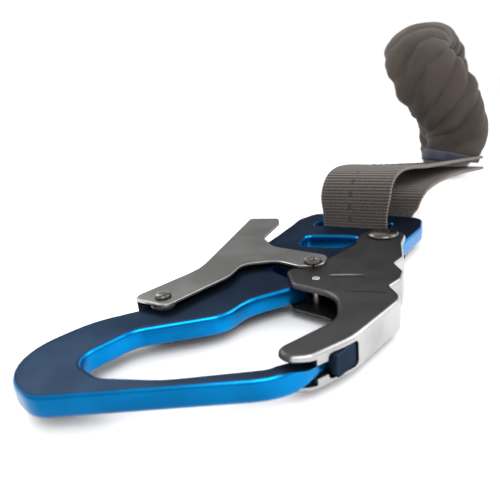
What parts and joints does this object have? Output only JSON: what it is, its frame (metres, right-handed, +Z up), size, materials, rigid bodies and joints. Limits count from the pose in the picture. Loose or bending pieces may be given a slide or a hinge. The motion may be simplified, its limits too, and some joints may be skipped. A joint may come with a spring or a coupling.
{
  "type": "shock absorbing lanyard",
  "caption": "Lanyard with a flat locking scaffold hook, a webbing loop through its eye, a gathered absorber jacket and a sewn harness loop.",
  "frame": {"origin": "the middle of the nose loop's flat inner end, where the anchor bears, on the hook's middle plane", "axes": "+X from the hook's nose loop to its eye, +Y towards the hook's squeeze lever, +Z up with the hook lying flat"},
  "size_m": [0.6686, 0.1956, 0.1454],
  "materials": {
    "forging": "blue anodised, satin",
    "gate_steel": "satin zinc plated",
    "lever_steel": "satin zinc plated",
    "rivet_steel": "domed, polished by use",
    "spring_steel": "spring wire",
    "bush_brass": "turned",
    "webbing": "woven polyester webbing, grey brown",
    "jacket": "gathered tubular cover, grey brown",
    "core": "absorber core webbing",
    "thread": "lock stitching, dark",
    "band": "sewn band, dark blue"
  },
  "bodies": {
    "hook": {"hook_body": "forging", "gate_pivot_rivet": "rivet_steel", "gate_bush": "bush_brass", "gate_spring": "spring_steel", "lever_pivot_rivet": "rivet_steel", "lever_bush": "bush_brass", "lever_spring": "spring_steel", "lever_spacer": "rivet_steel", "eye_wrap_webbing": "webbing"},
    "gate": {"gate_channel": "gate_steel", "gate_cross_pin": "rivet_steel"},
    "lever": {"lever_channel": "lever_steel", "lock_pin": "rivet_steel", "lever_arm_rivet": "rivet_steel"},
    "hook_loop": {"hook_loop_webbing": "webbing", "hook_loop_stitching": "thread"},
    "absorber_lower": {"jacket_lower": "jacket", "core_lower": "core", "mouth_band": "band"},
    "absorber_arch": {"jacket_arch": "jacket", "core_arch": "core"},
    "absorber_tail": {"jacket_tail": "jacket", "core_tail": "core", "end_band": "band"},
    "end_loop": {"end_loop_webbing": "webbing", "end_loop_stitching": "thread"}
  },
  "joints": [
    {"name": "gate_swing", "type": "hinge", "parent": "hook", "child": "gate", "pos_m": [0.176, -0.0224, 0], "axis": [0, 0, -1], "range_deg": [0, 25], "stiffness_Nm_per_rad": 0.05},
    {"name": "lever_squeeze", "type": "hinge", "parent": "hook", "child": "lever", "pos_m": [0.048, 0.0189, 0], "axis": [0, 0, -1], "range_deg": [0, 8.7]},
    {"name": "loop_swing", "type": "hinge", "parent": "hook", "child": "hook_loop", "pos_m": [0.22014, 0.01678, 0.01135], "axis": [0.225, -0.9744, 0], "range_deg": [-20, 20]},
    {"name": "lanyard_bend_low", "type": "hinge", "parent": "hook_loop", "child": "absorber_lower", "pos_m": [0.314, -0.0071, 0.02935], "axis": [0.3, -0.9539, 0], "range_deg": [-12, 9]},
    {"name": "lanyard_bend_top", "type": "hinge", "parent": "absorber_lower", "child": "absorber_arch", "pos_m": [0.30888, 0.01634, 0.10635], "axis": [0.3, -0.9539, 0], "range_deg": [-20, 20]},
    {"name": "lanyard_stretch", "type": "slide", "parent": "absorber_arch", "child": "absorber_tail", "axis": [0.9537, 0.3007, 0], "range_m": [0, 0.04]},
    {"name": "end_loop_swing", "type": "hinge", "parent": "absorber_tail", "child": "end_loop", "pos_m": [0.527, 0.0698, 0.00465], "axis": [0.3007, -0.9537, 0], "range_deg": [-45, 20]}
  ],
  "couplings": [
    {"joint": "lever_squeeze", "follows": "gate_swing", "ratio": 0.346}
  ]
}
